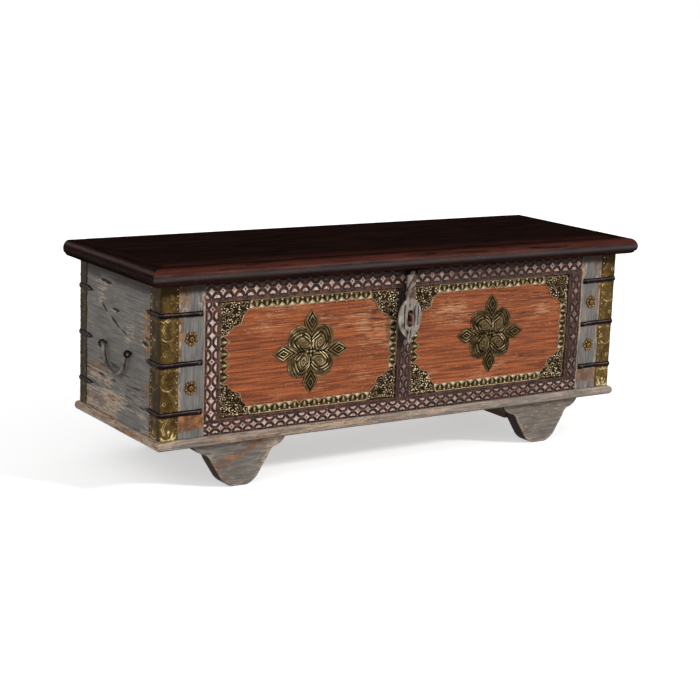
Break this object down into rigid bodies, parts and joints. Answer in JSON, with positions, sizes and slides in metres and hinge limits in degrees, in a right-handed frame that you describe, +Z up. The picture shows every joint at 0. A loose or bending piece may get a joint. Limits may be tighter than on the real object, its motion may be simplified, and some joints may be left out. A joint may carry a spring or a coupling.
{
  "type": "carved wooden trunk",
  "caption": "Long carved and painted wooden storage trunk with hinged plank lid, brass mounts, iron corner straps, hasp and staple, bail handles and bracket feet.",
  "frame": {"origin": "floor level under the middle of the trunk's overall box", "axes": "+X along the trunk's length to the right seen from the front, -Y towards the carved front, +Z up"},
  "size_m": [1.198, 0.412, 0.452],
  "materials": {
    "blue_grey_paint": "distressed blue-grey paint worn to cream and brown",
    "bare_wood": "bare softwood, dry",
    "carved_wood": "chip-carved, dark ground with pale worn tops",
    "orange_paint": "scuffed burnt-orange paint over streaky grain",
    "dark_lid_wood": "near-black brown stain, semi-gloss, worn edges",
    "panel_brass": "tarnished embossed brass sheet",
    "corner_brass": "dark tarnished brass sheet with bright scratches",
    "dark_iron": "dark forged iron with brown rust",
    "worn_hasp_metal": "worn pale blue-grey paint on metal"
  },
  "bodies": {
    "trunk": {"front_board": "blue_grey_paint", "back_board": "blue_grey_paint", "end_board_left": "blue_grey_paint", "end_board_right": "blue_grey_paint", "corner_stile_left": "blue_grey_paint", "corner_stile_right": "blue_grey_paint", "base_moulding_front": "blue_grey_paint", "base_moulding_back": "blue_grey_paint", "base_moulding_left": "blue_grey_paint", "base_moulding_right": "blue_grey_paint", "foot_front_left": "blue_grey_paint", "foot_front_right": "blue_grey_paint", "foot_rear_left": "blue_grey_paint", "foot_rear_right": "blue_grey_paint", "bottom_planks": "bare_wood", "bearer_left": "bare_wood", "bearer_right": "bare_wood", "carved_rail_top": "carved_wood", "carved_rail_bottom": "carved_wood", "carved_mullion": "carved_wood", "carved_stile_left": "carved_wood", "carved_stile_right": "carved_wood", "painted_panel_left": "orange_paint", "painted_panel_right": "orange_paint", "brass_border_left": "panel_brass", "brass_border_right": "panel_brass", "brass_corners_left": "panel_brass", "brass_corners_right": "panel_brass", "medallion_left": "panel_brass", "medallion_right": "panel_brass", "corner_brass_front_left": "corner_brass", "iron_straps_front_left": "dark_iron", "corner_brass_front_right": "corner_brass", "iron_straps_front_right": "dark_iron", "corner_brass_rear_left": "corner_brass", "iron_straps_rear_left": "dark_iron", "corner_brass_rear_right": "corner_brass", "iron_straps_rear_right": "dark_iron", "rosette_studs": "corner_brass", "hinge_leaf_body_left": "dark_iron", "hinge_leaf_body_right": "dark_iron", "hinge_pins": "dark_iron", "hasp_staple": "dark_iron", "handle_eyes_left": "dark_iron", "handle_eyes_right": "dark_iron"},
    "lid": {"lid_front_nosing": "dark_lid_wood", "lid_nosing_left": "dark_lid_wood", "lid_nosing_right": "dark_lid_wood", "lid_rear_rail": "dark_lid_wood", "lid_planks": "dark_lid_wood", "lid_batten_left": "bare_wood", "lid_batten_right": "bare_wood", "hinge_leaf_lid_left": "dark_iron", "hinge_leaf_lid_right": "dark_iron", "hasp_eye_plate": "dark_iron", "hasp_pin": "dark_iron"},
    "hasp": {"hasp_plate": "worn_hasp_metal"},
    "handle_left": {"handle_bail_left": "dark_iron"},
    "handle_right": {"handle_bail_right": "dark_iron"}
  },
  "joints": [
    {"name": "lid_hinge", "type": "hinge", "parent": "trunk", "child": "lid", "pos_m": [0, 0.197, 0.418], "axis": [-1, 0, 0], "range_deg": [0, 98]},
    {"name": "hasp_hinge", "type": "hinge", "parent": "lid", "child": "hasp", "pos_m": [0, -0.186, 0.411], "axis": [-1, 0, 0], "range_deg": [0, 90]},
    {"name": "handle_left_swing", "type": "hinge", "parent": "trunk", "child": "handle_left", "pos_m": [-0.575, 0.011, 0.262], "axis": [0, 1, 0], "range_deg": [0, 170]},
    {"name": "handle_right_swing", "type": "hinge", "parent": "trunk", "child": "handle_right", "pos_m": [0.575, 0.011, 0.262], "axis": [0, -1, 0], "range_deg": [0, 170]}
  ]
}
